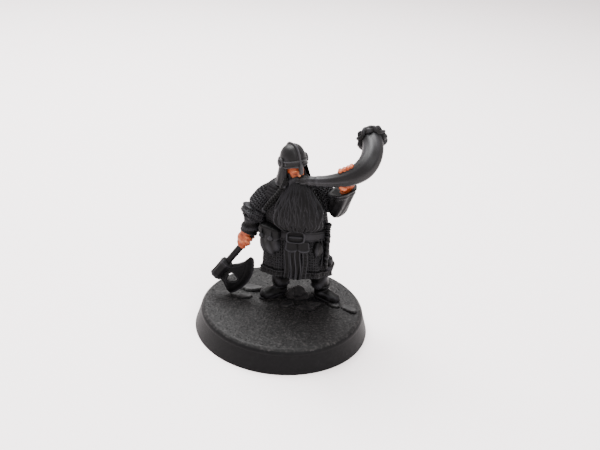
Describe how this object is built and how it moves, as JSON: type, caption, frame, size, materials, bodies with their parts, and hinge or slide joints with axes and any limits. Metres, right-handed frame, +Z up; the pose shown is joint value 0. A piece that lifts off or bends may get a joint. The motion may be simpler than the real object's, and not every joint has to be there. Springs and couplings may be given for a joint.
{
  "type": "tabletop miniature figure",
  "caption": "Cast miniature of a bearded mail-clad warrior blowing a long curved horn, holding a bearded axe head down, on a bevelled round slotted base.",
  "frame": {"origin": "centre of the base's underside, on the table", "axes": "+Z up, the figure faces -Y, its right hand with the axe is at -X and the horn at +X"},
  "size_m": [0.025, 0.025, 0.0308],
  "materials": {
    "primed_metal": "matt black primer on cast white metal",
    "flesh_paint": "satin orange-brown flesh paint on cast white metal",
    "base_plastic": "moulded styrene base, black primer",
    "base_grit": "fine glued grit, black primer",
    "slate": "broken slate chips, black primer"
  },
  "bodies": {
    "root": {"base": "base_plastic", "base_grit": "base_grit", "slot_tab": "primed_metal", "slate_slabs": "slate", "boot_right": "primed_metal", "boot_left": "primed_metal", "leg_right": "primed_metal", "leg_left": "primed_metal", "mail_skirt": "primed_metal", "hem_trim": "primed_metal", "front_panel": "primed_metal", "apron_flap": "primed_metal", "mail_shirt": "primed_metal", "belt": "primed_metal", "buckle": "primed_metal", "belt_pouch": "primed_metal", "pouch_flap": "primed_metal", "pouch_toggles": "primed_metal", "purse": "primed_metal", "hip_bag": "primed_metal", "knife_sheath": "primed_metal", "knife_grip": "primed_metal", "head": "flesh_paint", "helmet_bowl": "primed_metal", "helmet_brow_band": "primed_metal", "helmet_crest": "primed_metal", "helmet_curtain": "primed_metal", "helmet_ear_bosses": "primed_metal", "shoulder_mantle": "primed_metal", "beard": "primed_metal", "moustache": "primed_metal", "braid_right": "primed_metal", "braid_left": "primed_metal", "sleeve_right": "primed_metal", "elbow_roll_right": "primed_metal", "bracer_right": "primed_metal", "fist_right": "flesh_paint", "sleeve_left": "primed_metal", "sleeve_cuff_left": "primed_metal", "hand_left": "flesh_paint", "axe_haft": "primed_metal", "axe_head": "primed_metal", "haft_cap": "primed_metal", "horn_tube": "primed_metal", "horn_rim_band": "primed_metal", "horn_mouthpiece": "primed_metal"}
  },
  "joints": []
}
